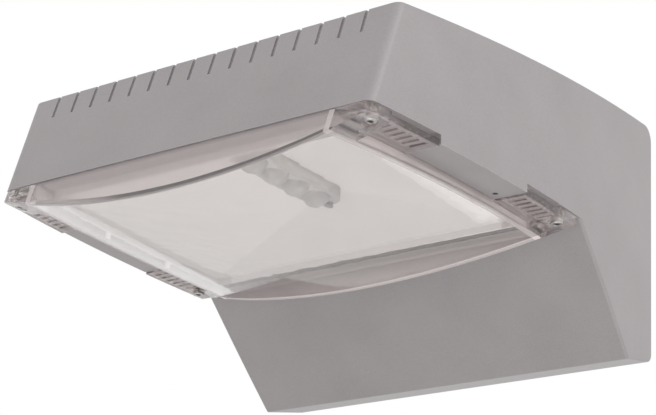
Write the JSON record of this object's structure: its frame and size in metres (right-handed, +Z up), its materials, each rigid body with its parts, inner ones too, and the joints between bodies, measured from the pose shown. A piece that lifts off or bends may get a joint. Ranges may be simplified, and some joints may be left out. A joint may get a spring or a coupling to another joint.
{
  "type": "emergency wall light",
  "caption": "Wedge-shaped wall light with a sloping rear skirt, a clear bowed cover below and a white reflector; the cover comes off downwards and a test button is recessed beside it.",
  "frame": {"origin": "middle of the wall fixing pattern, on the wall plane", "axes": "+Z up, +Y into the wall, -Y towards the front of the light, +X to the right seen from the front"},
  "size_m": [0.2696, 0.2897, 0.1538],
  "materials": {
    "housing": "satin",
    "lens_cover": "clear, polished",
    "cover_seal": "matt",
    "cover_screws": "bright",
    "thread_inserts": "plain",
    "reflector": "matt white",
    "led_optic": "clear, polished",
    "optic_screws": "bright",
    "led_board": "white solder mask",
    "led_chips": "phosphor",
    "heat_spreader": "mill",
    "lamp_spacers": "turned",
    "lamp_screws": "bright",
    "gear_tray": "zinc plated",
    "tray_screws": "bright",
    "control_board": "green solder mask",
    "board_spacers": "nylon",
    "transformer": "varnished laminations",
    "capacitors": "sleeved",
    "board_connectors": "nylon",
    "led_driver": "moulded",
    "battery_cells": "shrink sleeve",
    "battery_saddles": "moulded",
    "battery_straps": "zinc plated",
    "strap_screws": "bright",
    "test_button": "moulded",
    "test_switch": "moulded",
    "wall_plate": "mill",
    "wall_seal": "foam",
    "plate_screws": "bright",
    "cable_grommet": "matt",
    "terminal_block": "moulded",
    "terminal_screws": "plated",
    "earth_stud": "plain",
    "earth_nut": "plain"
  },
  "bodies": {
    "body": {"housing": "housing", "thread_inserts": "thread_inserts", "reflector": "reflector", "led_optic": "led_optic", "optic_screws": "optic_screws", "led_board": "led_board", "led_chips": "led_chips", "heat_spreader": "heat_spreader", "lamp_spacers": "lamp_spacers", "lamp_screws": "lamp_screws", "gear_tray": "gear_tray", "tray_screws": "tray_screws", "control_board": "control_board", "board_spacers": "board_spacers", "transformer": "transformer", "capacitors": "capacitors", "board_connectors": "board_connectors", "led_driver": "led_driver", "battery_cells": "battery_cells", "battery_saddles": "battery_saddles", "battery_straps": "battery_straps", "strap_screws": "strap_screws", "test_switch": "test_switch", "wall_plate": "wall_plate", "wall_seal": "wall_seal", "plate_screws": "plate_screws", "cable_grommet": "cable_grommet", "terminal_block": "terminal_block", "terminal_screws": "terminal_screws", "earth_stud": "earth_stud", "earth_nut": "earth_nut"},
    "cover": {"lens_cover": "lens_cover", "cover_seal": "cover_seal", "cover_screws": "cover_screws"},
    "button": {"test_button": "test_button"}
  },
  "joints": [
    {"name": "cover_slide", "type": "slide", "parent": "body", "child": "cover", "axis": [0, 0, -1], "range_m": [0, 0.06]},
    {"name": "button_press", "type": "slide", "parent": "body", "child": "button", "axis": [0, 0, 1], "range_m": [0, 0.001], "stiffness_N_per_m": 400, "springref_m": -0.002}
  ]
}
